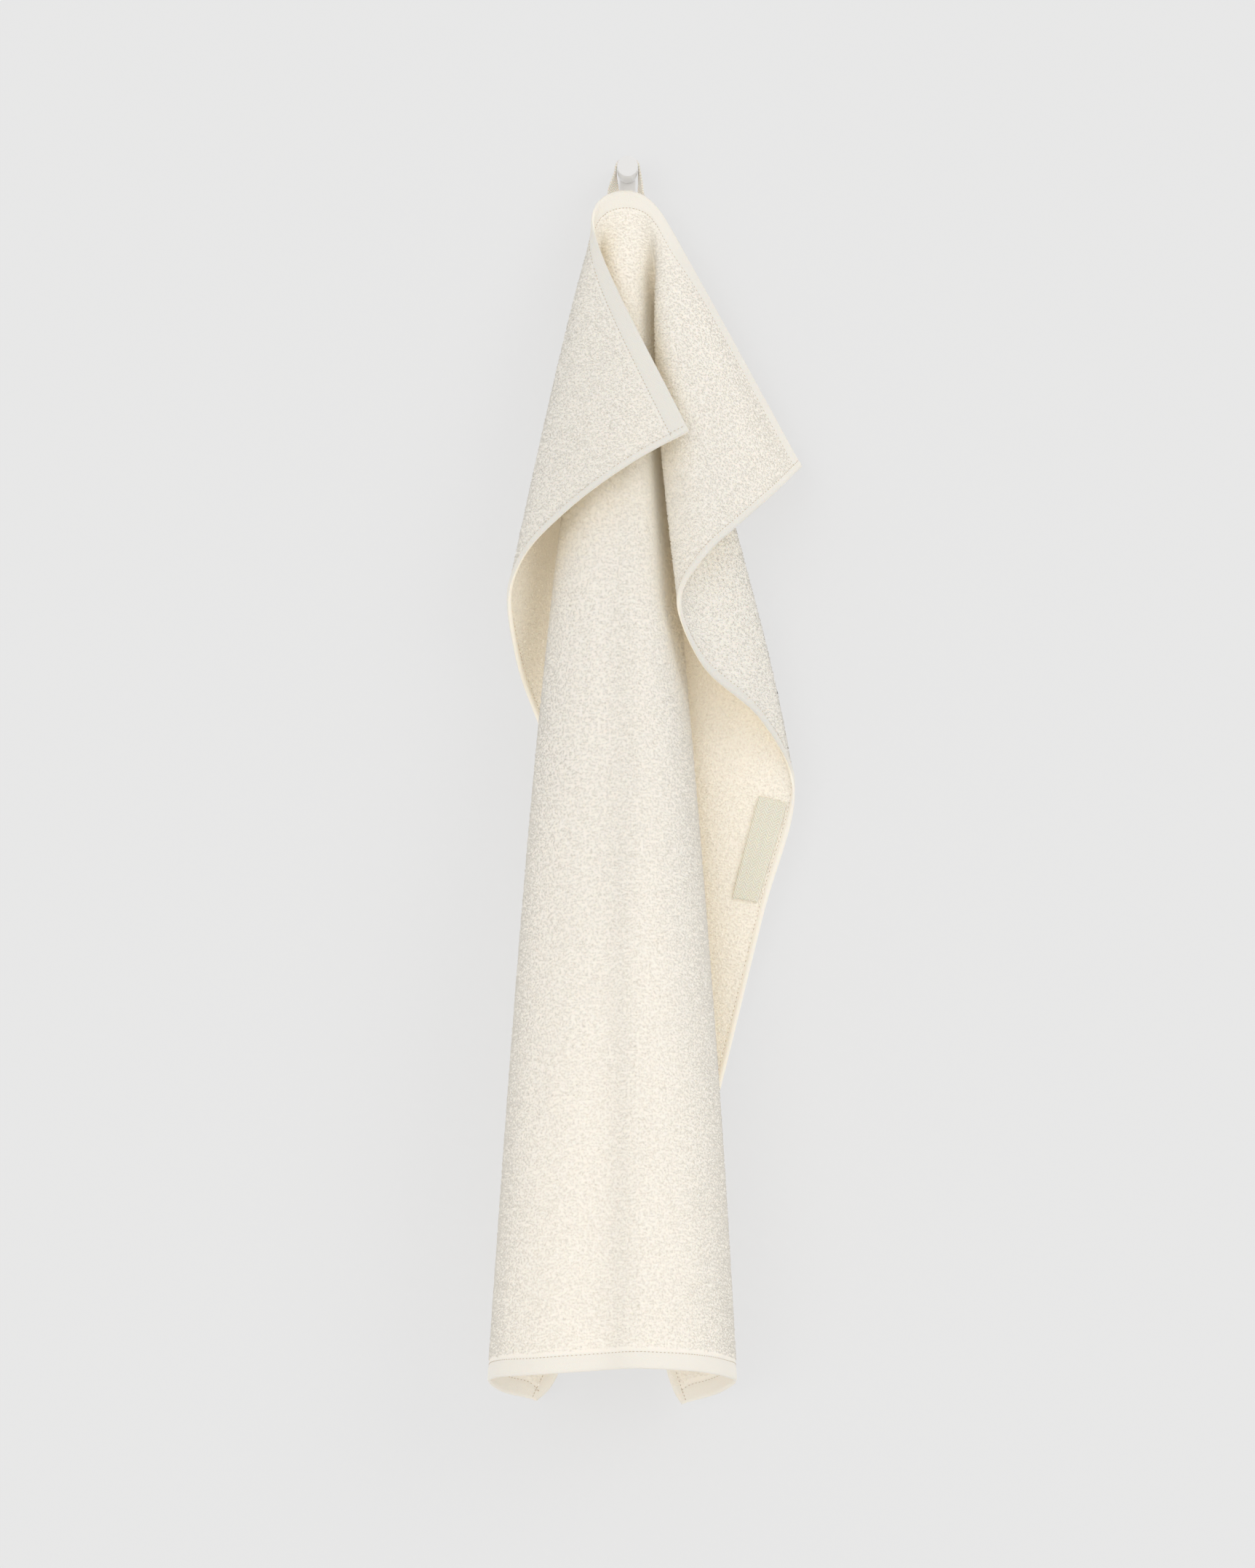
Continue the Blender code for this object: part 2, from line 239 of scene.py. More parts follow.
# Wall and floor: their tone, the share of it that no shadow darkens, their half sizes in metres,
# how far the wall stands behind the hook, and how high the floor is
WALL_TONE = 0.80
WALL_GLOW = 0.70
WALL_HALF_SIZE = 4.0
WALL_CLEARANCE = 0.8
FLOOR_GLOW = 0.3
FLOOR_HALF_SIZE = 8.0
FLOOR_Z = -1150.0

# Pale surroundings
SKY_COLOUR = (0.995, 1.0, 1.004, 1)
SKY_STRENGTH = 0.845

# Lights besides the pale surroundings: strength, spread, colour, and the direction they face
LIGHTS = (
    # name     strength spread  colour              tilt  turn
    ("key",    0.42,    30,     (1.00, 0.98, 0.95),   64,   46),
    ("front",  0.34,    30,     (1.00, 0.95, 0.88),   84,  -24),
)

# How far red, green and blue light soaks into the cotton, and that depth in millimetres
COTTON_SOAK = (1.0, 0.62, 0.38)
COTTON_SOAK_DEPTH = 1.5

# Painted shade: a warm tone mixed into the cotton deep in the folds, standing in for light that has
# passed from loop to loop many times
PAINTED_FOLD_SHADE = (0.95, 0.89, 0.76, 1)

# Pale fuzz that catches light along the rounded folds
FUZZ_COLOUR = (1.0, 0.95, 0.86, 1)

# Painted glow: a faint light of the cotton's own, standing in for light that soaks through the thin
# cotton from its other side
PAINTED_GLOW_COLOUR = (1.0, 0.86, 0.66, 1)
PAINTED_GLOW_STRENGTH = 0.13

# Colours of the cloth: the ground between the loops, the smooth hems, and the loops
GROUND_COLOUR = (0.93, 0.88, 0.80, 1)
HEM_COLOUR = (0.80, 0.78, 0.725, 1)
HEM_PATCH_COLOUR = (0.79, 0.765, 0.705, 1)
LOOP_COLOUR = (0.825, 0.80, 0.735, 1)
LOOP_PATCH_COLOUR = (0.81, 0.78, 0.71, 1)
LOOP_PALE_COLOUR = (0.84, 0.82, 0.77, 1)
# Painted warm shade down each loop's flanks, paler and warmer than its crest, standing in for light
# bounced between the loops
LOOP_FLANK_PAINTED_SHADE = (0.92, 0.87, 0.78, 1)
# Brown of the stitches: partly the thread's own colour, partly painted shade of the stitch holes
THREAD_AND_HOLE_SHADE_COLOUR = (0.65, 0.55, 0.42, 1)
THREAD_AND_HOLE_SHADE_PATCH_COLOUR = (0.72, 0.63, 0.50, 1)

# Colours of the hook's coat
COAT_COLOUR = (0.79, 0.78, 0.77, 1)
COAT_PATCH_COLOUR = (0.77, 0.76, 0.75, 1)


# Draping

def free_edge_place(u, v):
    """Distance along the free edge, counted from the middle of the lower hem."""
    if abs(u) < HALF_WIDTH:
        return u
    return math.copysign(HALF_WIDTH + TOWEL_LENGTH - v, u)


def line_slopes(places, values):
    """Slopes at the hanging lines that keep the cloth from overshooting between them."""
    gaps = np.diff(places)[:, None]
    rises = np.diff(values, axis=0) / gaps
    before = rises[:-1]
    after = rises[1:]
    same_way = before * after > 0
    before_safe = np.where(same_way, before, 1.0)
    after_safe = np.where(same_way, after, 1.0)
    far_side = 2 * gaps[1:] + gaps[:-1]
    near_side = gaps[1:] + 2 * gaps[:-1]
    mean = (far_side + near_side) / (far_side / before_safe + near_side / after_safe)
    inner = np.where(same_way, mean, 0.0)
    return np.vstack((rises[:1], inner, rises[-1:]))


LINE_PLACES = np.array([free_edge_place(line[1], line[2]) for line in HANGING_LINES])
LINE_VALUES = np.array([line[3:] for line in HANGING_LINES], dtype=float)
LINE_SLOPES = line_slopes(LINE_PLACES, LINE_VALUES)


def line_at(place):
    """Table values of the hanging line that ends at a place on the free edge."""
    place = np.clip(place, LINE_PLACES[0], LINE_PLACES[-1])
    index = np.clip(np.searchsorted(LINE_PLACES, place) - 1, 0, len(LINE_PLACES) - 2)
    gap = (LINE_PLACES[index + 1] - LINE_PLACES[index])[..., None]
    t = (place - LINE_PLACES[index])[..., None] / gap
    start = (1 + 2 * t) * (1 - t) ** 2 * LINE_VALUES[index]
    start += t * (1 - t) ** 2 * gap * LINE_SLOPES[index]
    end = t * t * (3 - 2 * t) * LINE_VALUES[index + 1]
    end += t * t * (t - 1) * gap * LINE_SLOPES[index + 1]
    return start + end


def hang(u, v):
    """Hanging place (x, away, z) of points of the flat cloth, before folds are rounded."""
    reach = HALF_WIDTH - HELD_HALF
    side = np.sign(u)
    run = np.abs(u) - HELD_HALF
    down = v / TOWEL_LENGTH
    # Front panel: lines fan out evenly from the held stretch to the lower hem
    fan = HELD_HALF / PANEL_HALF * (1 - down) + down
    foot = u / fan
    in_panel = np.abs(foot) <= PANEL_HALF
    # Beyond it: lines from the end of the held stretch to the lower hem or a side hem
    tangent = np.where(v > 0, run / np.maximum(v, 1e-6), 1e6)
    tangent = np.maximum(tangent, 1e-6)
    to_hem = tangent <= reach / TOWEL_LENGTH
    hem_place = side * (HELD_HALF + TOWEL_LENGTH * tangent)
    side_place = side * (HALF_WIDTH + TOWEL_LENGTH - reach / tangent)
    place = np.where(in_panel, foot, np.where(to_hem, hem_place, side_place))
    share = np.where(in_panel | to_hem, down, run / reach)
    share = np.clip(share, 0.0, 1.0)[..., None]
    values = line_at(place)
    peak = values[..., 5:]
    from_left = np.clip(foot / PANEL_HALF, -1, 1)[..., None] / 2 + 0.5
    start = np.array(LEFT_HOLD) * (1 - from_left) + np.array(RIGHT_HOLD) * from_left
    hanging = start + share * (values[..., :3] - start)
    swell = np.sin(math.pi * share ** (math.log(0.5) / np.log(peak)))
    hanging[..., :2] += values[..., 3:5] * swell
    return hanging


def hang_past_edge(u, v):
    """The same, where the cloth is taken to run straight on past its edges."""
    turned_u = np.where(np.abs(u) > HALF_WIDTH, np.sign(u) * TOWEL_WIDTH - u, u)
    turned_v = np.where(v < 0, -v, np.where(v > TOWEL_LENGTH, 2 * TOWEL_LENGTH - v, v))
    edge_u = np.clip(u, -HALF_WIDTH, HALF_WIDTH)
    edge_v = np.clip(v, 0, TOWEL_LENGTH)
    inside = hang(turned_u, turned_v)
    past = ((turned_u != u) | (turned_v != v))[..., None]
    return np.where(past, 2 * hang(edge_u, edge_v) - inside, inside)


def drape(u, v):
    """Hanging place in the scene's axes, in millimetres, with every fold rounded."""
    steps = np.array(SOFTENING_STEPS)
    weights = np.exp(-0.5 * steps ** 2)
    weights /= weights.sum()
    from_hold = np.hypot(np.maximum(np.abs(u) - HELD_HALF, 0.0), v)
    softness = FOLD_SOFTNESS + GATHER_SOFTNESS * np.exp(-((from_hold / GATHER_REACH) ** 2))
    total = np.zeros(u.shape + (3,))
    for step_u, weight_u in zip(steps, weights):
        for step_v, weight_v in zip(steps, weights):
            near = hang_past_edge(u + step_u * softness, v + step_v * softness)
            total += weight_u * weight_v * near
    return np.stack((total[..., 0], -total[..., 1], total[..., 2]), axis=-1)


def flat_grid(step):
    """Flat places of a grid over the whole towel."""
    across = np.linspace(-HALF_WIDTH, HALF_WIDTH, int(TOWEL_WIDTH / step) + 1)
    down = np.linspace(0, TOWEL_LENGTH, int(TOWEL_LENGTH / step) + 1)
    return np.meshgrid(across, down)


class Drape:
    """The hung cloth worked out once on a fine flat grid, and read between its points."""

    STEP = 2.0

    def __init__(self):
        u, v = flat_grid(self.STEP)
        self.places = drape(u, v)
        along_u = np.gradient(self.places, axis=1)
        along_v = np.gradient(self.places, axis=0)
        normals = np.cross(along_v, along_u)
        self.normals = unit(normals)
        self.across = unit(along_u)
        self.down = unit(along_v)
        self.shelters = {side: self.shelter_field(side) for side in (1, -1)}

    def read(self, field, u, v):
        rows, columns = field.shape[:2]
        x = np.clip((u + HALF_WIDTH) / TOWEL_WIDTH, 0, 0.9999999) * (columns - 1)
        y = np.clip(v / TOWEL_LENGTH, 0, 0.9999999) * (rows - 1)
        column = x.astype(int)
        row = y.astype(int)
        right = (x - column)[..., None]
        below = (y - row)[..., None]
        upper = field[row, column] * (1 - right) + field[row, column + 1] * right
        lower = field[row + 1, column] * (1 - right) + field[row + 1, column + 1] * right
        return upper * (1 - below) + lower * below

    def place(self, u, v):
        return self.read(self.places, u, v)

    def normal(self, u, v):
        return unit(self.read(self.normals, u, v))

    def shelter_field(self, side):
        """The share of the way out, on one side of the cloth, that other folds stand in."""
        u, v = flat_grid(SHELTER_STEP)
        places = self.place(u, v)
        rows, columns = u.shape
        folds = BVHTree.FromPolygons(places.reshape(-1, 3).tolist(),
                                     grid_faces(rows, columns).tolist())
        normal = side * self.normal(u, v).reshape(-1, 1, 3)
        across = unit(self.read(self.across, u, v)).reshape(-1, 1, 3)
        turned = np.cross(normal, across)
        share = ((np.arange(SHELTER_RAYS) + 0.5) / SHELTER_RAYS)[None, :, None]
        turn = share * SHELTER_RAYS * SHELTER_RAY_TURN
        flat = np.cos(turn) * across + np.sin(turn) * turned
        rays = np.sqrt(1 - share) * normal + np.sqrt(share) * flat
        starts = places.reshape(-1, 3) + SHELTER_START * normal[:, 0]
        met = [sum(folds.ray_cast(start, ray, SHELTER_REACH)[0] is not None for ray in fan)
               for start, fan in zip(starts.tolist(), rays.tolist())]
        field = np.array(met, dtype=float).reshape(rows, columns) / SHELTER_RAYS
        padded = np.pad(field, 1, mode="edge")
        blurred = sum(padded[row:row + rows, column:column + columns]
                      for row in range(3) for column in range(3)) / 9
        return blurred[..., None]

    def shelter(self, u, v, side):
        return self.read(self.shelters[side], u, v)[..., 0]

    def painted_glow_share(self, u, v, side):
        """The share of the way out that is open on the cloth's other side, which sets how bright
        the painted glow is.
        """
        return 1 - self.shelter(u, v, -side)


def unit(vectors):
    return vectors / np.maximum(np.linalg.norm(vectors, axis=-1, keepdims=True), 1e-9)


# Meshes

def mesh_object(name, places, faces, material, flat=None, shades=None, normals=None):
    """A smooth mesh from arrays: corner places in mm, faces of equal size, and for each
    corner its flat place in mm, its named shade values and the way its surface faces."""
    mesh = bpy.data.meshes.new(name)
    count, size = faces.shape
    mesh.vertices.add(len(places))
    mesh.vertices.foreach_set("co", (places * MM).astype(np.float32).ravel())
    mesh.loops.add(count * size)
    mesh.loops.foreach_set("vertex_index", faces.astype(np.int32).ravel())
    mesh.polygons.add(count)
    mesh.polygons.foreach_set("loop_start", np.arange(0, count * size, size, dtype=np.int32))
    mesh.update(calc_edges=True)
    mesh.validate()
    mesh.shade_smooth()
    if flat is not None:
        layer = mesh.uv_layers.new(name="Flat")
        layer.data.foreach_set("uv", (flat[faces.ravel()] * MM).astype(np.float32).ravel())
    for shade, values in (shades or {}).items():
        attribute = mesh.attributes.new(shade, "FLOAT", "POINT")
        attribute.data.foreach_set("value", values.astype(np.float32))
    if normals is not None:
        mesh.normals_split_custom_set_from_vertices(normals.tolist())
    mesh.materials.append(material)
    thing = bpy.data.objects.new(name, mesh)
    bpy.context.scene.collection.objects.link(thing)
    return thing


def grid_faces(rows, columns, start=0, flip=False):
    """Quads over a grid of corners, row by row."""
    index = start + np.arange(rows * columns).reshape(rows, columns)
    quads = np.stack((index[:-1, :-1], index[1:, :-1], index[1:, 1:], index[:-1, 1:]), axis=-1)
    quads = quads.reshape(-1, 4)
    return quads[:, ::-1] if flip else quads


def rim_faces(rows, columns, back):
    """Quads that close a front and a back grid round their edge."""
    index = np.arange(rows * columns).reshape(rows, columns)
    edge = np.concatenate((index[0, :-1], index[:-1, -1], index[-1, :0:-1], index[:0:-1, 0]))
    after = np.roll(edge, -1)
    return np.stack((edge, after, after + back, edge + back), axis=-1)


def cloth_sheet(name, hung, u_lines, v_lines, half, material, lift=0.0, shades=None):
    """A closed sheet on the hung cloth, half a thickness to each side of its middle."""
    u, v = np.meshgrid(u_lines, v_lines)
    middle = hung.place(u, v)
    normal = hung.normal(u, v)
    thick = half(u, v)[..., None]
    front = (middle + (lift + thick) * normal).reshape(-1, 3)
    back = (middle + (lift - thick) * normal).reshape(-1, 3)
    rows, columns = u.shape
    faces = np.concatenate((
        grid_faces(rows, columns),
        grid_faces(rows, columns, len(front), flip=True),
        rim_faces(rows, columns, len(front)),
    ))
    flat = np.stack((u.ravel(), v.ravel()), axis=-1)
    values = {key: np.concatenate([shade(u, v, side).ravel() for side in (1, -1)])
              for key, shade in (shades or {}).items()}
    places = np.concatenate((front, back))
    return mesh_object(name, places, faces, material, np.tile(flat, (2, 1)), values)


LOOP_FACES = np.array(((0, 1, 3), (1, 2, 3), (2, 0, 3), (0, 2, 1)))


def pile_loops(centre, along, normal, length, width, height, root):
    """Closed four-cornered loops: a wide heel and a toe sunk by root, and a crest. They are
    shaded as if their corners faced out from the cloth and a little apart, as on a soft
    round loop."""
    side = np.cross(normal, along)
    half_length = length[:, None] / 2 * along
    half_width = width[:, None] / 2 * side
    sunk = centre - root * normal
    places = np.stack((
        sunk - half_length + half_width,
        sunk - half_length - half_width,
        sunk + half_length,
        centre + height[:, None] * normal + LOOP_CREST_LEAN * half_length,
    ), axis=1)
    facing = unit(places - sunk[:, None]) * LOOP_ROUNDNESS + normal[:, None]
    starts = np.arange(len(centre))[:, None, None] * 4
    faces = (LOOP_FACES[None] + starts).reshape(-1, 3)
    return places.reshape(-1, 3), faces, unit(facing).reshape(-1, 3)


GRAIN_FACES = np.array(((0, 2, 3), (0, 4, 2), (0, 3, 4), (1, 3, 2), (1, 2, 4), (1, 4, 3)))


def grains(centre, along, normal, length, width, height, root):
    """Closed five-cornered grains: two ends sunk by root, a crest and two flanks."""
    side = np.cross(normal, along)
    half_length = length[:, None] / 2 * along
    half_width = width[:, None] / 2 * side
    sunk = centre - root * normal
    crest = centre + height[:, None] * normal
    places = np.stack((
        sunk - half_length,
        sunk + half_length,
        crest,
        centre + half_width,
        centre - half_width,
    ), axis=1)
    starts = np.arange(len(centre))[:, None, None] * 5
    return places.reshape(-1, 3), (GRAIN_FACES[None] + starts).reshape(-1, 3)


# Cloth thickness over the flat towel

def smooth_step(low, high, x):
    t = np.clip((x - low) / (high - low), 0.0, 1.0)
    return t * t * (3 - 2 * t)


def flat_hem_half(from_edge, width):
    """Half thickness of a doubled flat hem, dipping along its stitches."""
    body = HEM_HALF * np.sqrt(np.clip(from_edge / HEM_ROUNDING, 0.06, 1.0))
    body -= STITCH_DIP * np.exp(-((from_edge - width + STITCH_INSET) / STITCH_DIP_REACH) ** 2)
    return body * (1 - smooth_step(width - 0.3, width + 0.8, from_edge))


def rolled_hem_half(from_edge):
    """Half thickness of a narrow rolled hem, round in section."""
    off_middle = np.clip((from_edge - SIDE_HEM / 2) / (SIDE_HEM / 2), -1, 1)
    return ROLL_HALF * np.sqrt(1 - off_middle ** 2)


def towel_half(u, v):
    from_side = HALF_WIDTH - np.abs(u)
    half = np.where(from_side > 1.0, CLOTH_HALF, 0.3)
    half = np.maximum(half, flat_hem_half(v, TOP_HEM))
    half = np.maximum(half, flat_hem_half(TOWEL_LENGTH - v, BOTTOM_HEM))
    half = np.maximum(half, rolled_hem_half(from_side))
    at_end = np.minimum(v, TOWEL_LENGTH - v) <= 0
    return np.where(at_end, np.minimum(half, THIN_EDGE_HALF), half)


def hem_share(u, v, side):
    """One on the smooth hems and nought under the pile, the same on either side."""
    total = 0.0
    for width, from_edge in ((TOP_HEM, v), (BOTTOM_HEM, TOWEL_LENGTH - v),
                             (SIDE_HEM, HALF_WIDTH - np.abs(u))):
        share = 1 - smooth_step(width - HEM_FADE, width + HEM_FADE, from_edge)
        total = np.maximum(total, share)
    return total


def towel_lines():
    """Flat places of the cloth mesh's columns and rows, closer together over the hems."""
    terry_u = HALF_WIDTH - SIDE_HEM
    roll = np.linspace(0, SIDE_HEM, ROLL_STEPS, endpoint=False)
    inner = np.linspace(-terry_u, terry_u, int(2 * terry_u / TERRY_STEP_U) + 1)
    u_lines = np.concatenate((-HALF_WIDTH + roll, inner, (HALF_WIDTH - roll)[::-1]))
    top = np.linspace(0, TOP_HEM, HEM_STEPS, endpoint=False)
    bottom = TOWEL_LENGTH - np.linspace(0, BOTTOM_HEM, HEM_STEPS, endpoint=False)[::-1]
    terry_length = TOWEL_LENGTH - TOP_HEM - BOTTOM_HEM
    middle = TOP_HEM + np.linspace(0, terry_length, int(terry_length / TERRY_STEP_V) + 1)
    return u_lines, np.concatenate((top, middle, bottom))


# Cloth pieces

def make_cloth(hung, material):
    u_lines, v_lines = towel_lines()
    return cloth_sheet("towel_cloth", hung, u_lines, v_lines, towel_half, material,
                       shades={"hem": hem_share, "shelter": hung.shelter, "painted_glow_share": hung.painted_glow_share})


def make_pile(hung, side, name, material):
    """Terry loops all over one side of the cloth between its hems, in a few pieces."""
    terry_u = HALF_WIDTH - SIDE_HEM - PILE_SIDE_MARGIN
    terry_end = TOWEL_LENGTH - BOTTOM_HEM - PILE_MARGIN
    across = np.arange(-terry_u, terry_u, LOOP_STEP_U)
    down = np.arange(TOP_HEM + PILE_MARGIN, terry_end, LOOP_STEP_V)
    u, v = (field.ravel() for field in np.meshgrid(across, down))
    u = u + RNG.uniform(-LOOP_STRAY, LOOP_STRAY, u.shape) * LOOP_STEP_U
    v = v + RNG.uniform(-LOOP_STRAY, LOOP_STRAY, v.shape) * LOOP_STEP_V
    count = len(u)
    normal = side * hung.normal(u, v)
    turn = RNG.normal(0.0, LOOP_TURN, count)[:, None]
    along = np.cos(turn) * hung.read(hung.down, u, v)
    along += np.sin(turn) * hung.read(hung.across, u, v)
    along = unit(along + normal * RNG.normal(0.0, LOOP_TILT, count)[:, None])
    size = RNG.uniform(0.75, 1.2, count)
    places, faces, facing = pile_loops(
        hung.place(u, v) + CLOTH_HALF * normal, along, normal,
        LOOP_LENGTH * size, LOOP_WIDTH * RNG.uniform(0.8, 1.2, count),
        LOOP_HEIGHT * RNG.uniform(0.6, 1.25, count), LOOP_ROOT)
    shades = {"crest": np.tile(CREST_SHARES, count),
              "tone": np.repeat(RNG.uniform(0.0, 1.0, count), 4),
              "shelter": np.repeat(hung.shelter(u, v, side), 4),
              "painted_glow_share": np.repeat(hung.painted_glow_share(u, v, side), 4)}
    pieces = []
    for number, loops in enumerate(np.array_split(np.arange(count), PILE_PIECES), 1):
        corners = slice(loops[0] * 4, loops[-1] * 4 + 4)
        own_faces = faces[corners] - loops[0] * 4
        own_shades = {key: values[corners] for key, values in shades.items()}
        pieces.append(mesh_object(f"{name}_{number}", places[corners], own_faces, material,
                                  shades=own_shades, normals=facing[corners]))
    return pieces


def stitch_row(hung, u, v, along_field, side):
    """Grains for one row of stitches, along the cloth's across or down direction."""
    normal = side * hung.normal(u, v)
    base = hung.place(u, v) + (towel_half(u, v)[:, None] + 0.02) * normal
    count = len(u)
    return grains(base, unit(hung.read(along_field, u, v)), normal,
                  np.full(count, STITCH_LENGTH), np.full(count, STITCH_WIDTH),
                  np.full(count, STITCH_WIDTH * 0.6), STITCH_ROOT)


def make_stitches(hung, material):
    across = np.arange(-HALF_WIDTH + 3, HALF_WIDTH - 2, STITCH_STEP)
    down = np.arange(3, TOWEL_LENGTH - 2, STITCH_STEP)
    rows = [(across, np.full_like(across, v), hung.across)
            for v in (TOP_HEM - STITCH_INSET, TOWEL_LENGTH - BOTTOM_HEM + STITCH_INSET)]
    rows += [(np.full_like(down, u), down, hung.down)
             for u in (-HALF_WIDTH + SIDE_HEM + 0.1, HALF_WIDTH - SIDE_HEM - 0.1)]
    places = []
    faces = []
    total = 0
    for u, v, along_field in rows:
        for side in (1, -1):
            row_places, row_faces = stitch_row(hung, u, v, along_field, side)
            places.append(row_places)
            faces.append(row_faces + total)
            total += len(row_places)
    return mesh_object("hem_stitches", np.concatenate(places), np.concatenate(faces), material)


def label_half(u, v):
    from_edge = np.minimum(np.minimum(u - LABEL_LEFT, LABEL_RIGHT - u),
                           np.minimum(v - LABEL_TOP, LABEL_BOTTOM - v))
    return LABEL_THICKNESS / 2 * np.sqrt(np.clip(from_edge / LABEL_ROUNDING, 0.15, 1.0))


def make_label(hung, material):
    u_lines = np.linspace(LABEL_LEFT, LABEL_RIGHT, LABEL_COLUMNS)
    v_lines = np.linspace(LABEL_TOP, LABEL_BOTTOM, LABEL_ROWS)
    return cloth_sheet("woven_label", hung, u_lines, v_lines, label_half, material, LABEL_LIFT)


def tape_route():
    """Tape centres (x, away, z) and turns of its width, smoothly from end to end."""
    stations = [(x, away, z, turn) for x, away, z, turn in reversed(LEFT_LEG)]
    for step in range(TAPE_ARC_STEPS + 1):
        angle = math.pi * (1 - step / TAPE_ARC_STEPS)
        x = TAPE_RADIUS * math.cos(angle)
        stations.append((x, TAPE_AWAY, TAPE_RADIUS * math.sin(angle), 90))
    stations += RIGHT_LEG
    stations = np.array(stations, dtype=float)
    gaps = np.linalg.norm(np.diff(stations[:, :3], axis=0), axis=1)
    run = np.concatenate(((0,), np.cumsum(gaps)))
    fine = np.linspace(0, run[-1], int(run[-1] / TAPE_STEP) + 1)
    return fine, np.stack([np.interp(fine, run, stations[:, k]) for k in range(4)], axis=-1)


def make_tape(material):
    """The hanging loop: a flat tape with soft edges, swept along its route."""
    run, route = tape_route()
    centre = np.stack((route[:, 0], -route[:, 1], route[:, 2]), axis=-1)
    turn = np.radians(route[:, 3])
    ahead = unit(np.gradient(centre, axis=0))
    across = np.stack((np.cos(turn), np.sin(turn), np.zeros_like(turn)), axis=-1)
    across = unit(across - (across * ahead).sum(axis=1, keepdims=True) * ahead)
    outward = np.cross(ahead, across)
    half_width = TAPE_WIDTH / 2
    half_thick = TAPE_THICKNESS / 2
    edge = half_thick * TAPE_EDGE_SHARE
    shares = np.linspace(TAPE_FLAT_SHARE, -TAPE_FLAT_SHARE, TAPE_FACE_POINTS)
    profile = [(x * half_width, half_thick) for x in shares]
    profile += [(-half_width, edge), (-half_width, -edge)]
    profile += [(x * half_width, -half_thick) for x in -shares]
    profile += [(half_width, -edge), (half_width, edge)]
    profile = np.array(profile)
    sides = len(profile)
    places = (centre[:, None] + profile[None, :, :1] * across[:, None]
              + profile[None, :, 1:] * outward[:, None])
    rows = len(centre)
    index = np.arange(rows * sides).reshape(rows, sides)
    after = np.roll(index, -1, axis=1)
    faces = np.stack((index[:-1], after[:-1], after[1:], index[1:]), axis=-1).reshape(-1, 4)
    flat = np.stack((np.tile(profile[:, 0], rows), np.repeat(run, sides)), axis=-1)
    tape = mesh_object("loop_tape", places.reshape(-1, 3), faces, material, flat)
    close_ends(tape)
    return tape


def close_ends(thing):
    bm = bmesh.new()
    bm.from_mesh(thing.data)
    open_edges = [edge for edge in bm.edges if len(edge.link_faces) == 1]
    bmesh.ops.holes_fill(bm, edges=open_edges, sides=0)
    bmesh.ops.recalc_face_normals(bm, faces=bm.faces)
    bm.to_mesh(thing.data)
    bm.free()


def add_bevel(thing, width, segments):
    modifier = thing.modifiers.new("Soft edges", "BEVEL")
    modifier.width = width * MM
    modifier.segments = segments
    modifier.limit_method = "ANGLE"
    modifier.angle_limit = SHARP_ANGLE


def bmesh_object(name, bm, material):
    mesh = bpy.data.meshes.new(name)
    bm.to_mesh(mesh)
    bm.free()
    mesh.materials.append(material)
    thing = bpy.data.objects.new(name, mesh)
    bpy.context.scene.collection.objects.link(thing)
    return thing


def make_peg(material):
    back = PLATE_THICKNESS + SEAT_GAP
    bm = bmesh.new()
    bmesh.ops.create_cone(bm, cap_ends=True, segments=PEG_SIDES, radius1=PEG_RADIUS * MM,
                          radius2=PEG_RADIUS * MM, depth=(PEG_FRONT - back) * MM)
    peg = bmesh_object("peg", bm, material)
    peg.rotation_euler = (math.radians(90), 0, 0)
    peg.location = (0, -(back + PEG_FRONT) / 2 * MM, 0)
    add_bevel(peg, PEG_BEVEL, 4)
    peg.data.shade_smooth()
    peg.data.set_sharp_from_angle(angle=SHARP_ANGLE)
    return peg


def make_plate(material):
    height = PLATE_TOP - PLATE_BOTTOM
    bm = bmesh.new()
    bmesh.ops.create_cube(bm, size=1.0)
    bmesh.ops.scale(bm, verts=bm.verts, vec=(PLATE_WIDTH * MM, PLATE_THICKNESS * MM, height * MM))
    plate = bmesh_object("plate", bm, material)
    plate.location = (0, -PLATE_THICKNESS / 2 * MM, (PLATE_TOP + PLATE_BOTTOM) / 2 * MM)
    add_bevel(plate, PLATE_BEVEL, 5)
    return plate


# Node groups shared by the materials

def new_group(name, inputs, outputs):
    group = bpy.data.node_groups.new(name, "ShaderNodeTree")
    for socket, kind, value in inputs:
        made = group.interface.new_socket(name=socket, in_out="INPUT", socket_type=kind)
        if value is not None:
            made.default_value = value
    for socket, kind in outputs:
        group.interface.new_socket(name=socket, in_out="OUTPUT", socket_type=kind)
    start = group.nodes.new("NodeGroupInput")
    end = group.nodes.new("NodeGroupOutput")
    return group, start, end


def math_node(tree, operation, first, second=None, third=None):
    node = tree.nodes.new("ShaderNodeMath")
    node.operation = operation
    for socket, value in zip(node.inputs, (first, second, third)):
        if isinstance(value, (int, float)):
            socket.default_value = value
        elif value is not None:
            tree.links.new(value, socket)
    return node.outputs[0]


def herringbone_group():
    """Twill ribs that turn back at each column: Height from nought to one."""
    group, start, end = new_group(
        "Herringbone weave",
        (("Vector", "NodeSocketVector", None), ("Rib spacing", "NodeSocketFloat", 0.001),
         ("Column width", "NodeSocketFloat", 0.002)),
        (("Height", "NodeSocketFloat"),))
    split = group.nodes.new("ShaderNodeSeparateXYZ")
    group.links.new(start.outputs["Vector"], split.inputs[0])
    zigzag = math_node(group, "PINGPONG", split.outputs["X"], start.outputs["Column width"])
    place = math_node(group, "ADD", split.outputs["Y"], zigzag)
    turns = math_node(group, "DIVIDE", place, start.outputs["Rib spacing"])
    angle = math_node(group, "MULTIPLY", turns, 2 * math.pi)
    wave = math_node(group, "SINE", angle)
    group.links.new(math_node(group, "MULTIPLY_ADD", wave, 0.5, 0.5), end.inputs["Height"])
    return group


